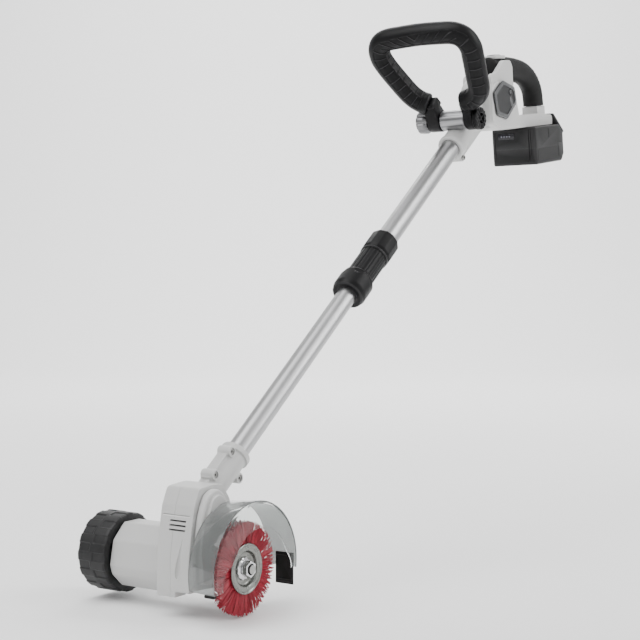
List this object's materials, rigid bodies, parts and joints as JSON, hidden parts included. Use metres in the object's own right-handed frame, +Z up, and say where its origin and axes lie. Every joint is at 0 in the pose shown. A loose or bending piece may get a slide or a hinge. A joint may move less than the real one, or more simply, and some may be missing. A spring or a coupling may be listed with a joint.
{
  "type": "cordless rotary brush edger",
  "caption": "Telescopic pole tool with a motor head, a hooded spinning brush and guide wheel below, and a D-grip, tilting loop handle and slide-on battery above.",
  "frame": {"origin": "middle of the D-grip's top bar, where the rear hand holds the tool", "axes": "+X along the brush axis from the guide wheel to the brush, +Y back towards the user, +Z up; the tube runs down and forward"},
  "size_m": [0.2238, 0.9529, 0.71],
  "materials": {
    "shell": "light grey moulded plastic, fine matt texture",
    "black_plastic": "black moulded plastic, satin",
    "rubber": "black soft-grip rubber, matt",
    "dark_plastic": "dark grey moulded plastic, satin",
    "aluminium": "satin drawn aluminium tube",
    "steel": "zinc-plated steel",
    "chrome": "bright plated steel",
    "clear": "smoky clear plastic",
    "bristle": "dark red nylon bristles",
    "copper": "lacquered copper winding on a laminated steel core",
    "board": "green circuit board",
    "cell": "blue cell sleeve",
    "coated_metal": "grey metallic coating"
  },
  "bodies": {
    "handle_body": {"handle_shell_left": "shell", "handle_shell_right": "shell", "handle_panel_left": "dark_plastic", "handle_panel_right": "dark_plastic", "grip_rubber": "rubber", "top_strip": "shell", "upper_tube": "aluminium", "lock_collar": "black_plastic", "lock_cone": "dark_plastic", "tube_socket": "shell", "socket_screw": "steel", "clamp_barrel": "coated_metal", "control_board": "board", "terminal_block": "dark_plastic", "switch_body": "black_plastic"},
    "lower_assembly": {"head_shell_left": "shell", "head_shell_right": "shell", "gearbox_cover": "shell", "neck_screw_1": "steel", "neck_screw_2": "steel", "neck_screw_3": "steel", "motor_can": "steel", "ring_gear": "dark_plastic", "spindle_bearing": "steel", "guard_hood": "clear", "guard_screw_1": "steel", "guard_screw_2": "steel", "rear_flap": "rubber", "front_lip": "rubber", "wheel_axle": "steel", "lower_tube": "aluminium"},
    "lock_nut": {"lock_nut": "black_plastic"},
    "loop_handle": {"loop_handle": "black_plastic", "locking_disc": "black_plastic"},
    "clamp_knob": {"clamp_knob": "coated_metal", "clamp_bolt": "steel"},
    "trigger": {"trigger": "black_plastic", "trigger_spring": "steel"},
    "lock_off_button": {"lock_off_button": "black_plastic"},
    "battery_pack": {"battery_case_lower": "black_plastic", "battery_case_upper": "black_plastic", "battery_cell_1": "cell", "battery_cell_2": "cell", "battery_cell_3": "cell", "battery_cell_4": "cell", "battery_cell_5": "cell"},
    "battery_release": {"battery_release": "dark_plastic"},
    "guide_wheel": {"wheel_tread": "rubber", "wheel_rim": "dark_plastic", "wheel_cap": "dark_plastic"},
    "brush_rotor": {"spindle": "steel", "brush_rear_disc": "steel", "bristle_ring": "bristle", "brush_front_disc": "steel", "brush_washer": "chrome", "brush_nut": "chrome"},
    "motor_rotor": {"motor_rotor": "copper"},
    "planet_1": {"planet_gear_1": "steel"},
    "planet_2": {"planet_gear_2": "steel"},
    "planet_3": {"planet_gear_3": "steel"}
  },
  "joints": [
    {"name": "tube_slide", "type": "slide", "parent": "handle_body", "child": "lower_assembly", "axis": [0, 0.7965, 0.6046], "range_m": [-0.04, 0.2]},
    {"name": "lock_nut_turn", "type": "hinge", "parent": "handle_body", "child": "lock_nut", "pos_m": [0, -0.457, -0.3179], "axis": [0, 0.7965, 0.6046], "range_deg": [0, 90]},
    {"name": "loop_tilt", "type": "hinge", "parent": "handle_body", "child": "loop_handle", "pos_m": [0, -0.207, -0.095], "axis": [1, 0, 0], "range_deg": [-50, 30]},
    {"name": "knob_turn", "type": "hinge", "parent": "loop_handle", "child": "clamp_knob", "pos_m": [0, -0.207, -0.095], "axis": [1, 0, 0], "range_deg": [-180, 180]},
    {"name": "trigger_pull", "type": "hinge", "parent": "handle_body", "child": "trigger", "pos_m": [0, -0.05228, -0.01571], "axis": [1, 0, 0], "range_deg": [0, 12], "stiffness_Nm_per_rad": 0.6, "springref_deg": -11.46, "deforming": ["trigger_spring"]},
    {"name": "lock_off_press", "type": "slide", "parent": "handle_body", "child": "lock_off_button", "axis": [0, 0.1444, -0.9895], "range_m": [0, 0.002], "stiffness_N_per_m": 600, "springref_m": -0.002},
    {"name": "battery_slide", "type": "slide", "parent": "handle_body", "child": "battery_pack", "axis": [0, 0.9895, 0.1444], "range_m": [0, 0.09]},
    {"name": "battery_release_press", "type": "slide", "parent": "battery_pack", "child": "battery_release", "axis": [0, 0.1444, -0.9895], "range_m": [0, 0.002], "stiffness_N_per_m": 600, "springref_m": -0.002},
    {"name": "guide_wheel_spin", "type": "hinge", "parent": "lower_assembly", "child": "guide_wheel", "pos_m": [-0.11955, -0.785, -0.63], "axis": [1, 0, 0], "continuous": true},
    {"name": "brush_spin", "type": "hinge", "parent": "lower_assembly", "child": "brush_rotor", "pos_m": [0.0643, -0.785, -0.63], "axis": [1, 0, 0], "continuous": true},
    {"name": "motor_spin", "type": "hinge", "parent": "lower_assembly", "child": "motor_rotor", "pos_m": [-0.06, -0.785, -0.63], "axis": [1, 0, 0], "continuous": true},
    {"name": "planet_1_spin", "type": "hinge", "parent": "brush_rotor", "child": "planet_1", "pos_m": [-0.033, -0.77319, -0.63], "axis": [1, 0, 0], "continuous": true},
    {"name": "planet_2_spin", "type": "hinge", "parent": "brush_rotor", "child": "planet_2", "pos_m": [-0.033, -0.79091, -0.61977], "axis": [1, 0, 0], "continuous": true},
    {"name": "planet_3_spin", "type": "hinge", "parent": "brush_rotor", "child": "planet_3", "pos_m": [-0.033, -0.79091, -0.64023], "axis": [1, 0, 0], "continuous": true}
  ],
  "couplings": [
    {"joint": "motor_spin", "follows": "brush_spin", "ratio": 4.6667},
    {"joint": "planet_1_spin", "follows": "brush_spin", "ratio": -2.75},
    {"joint": "planet_2_spin", "follows": "brush_spin", "ratio": -2.75},
    {"joint": "planet_3_spin", "follows": "brush_spin", "ratio": -2.75}
  ]
}
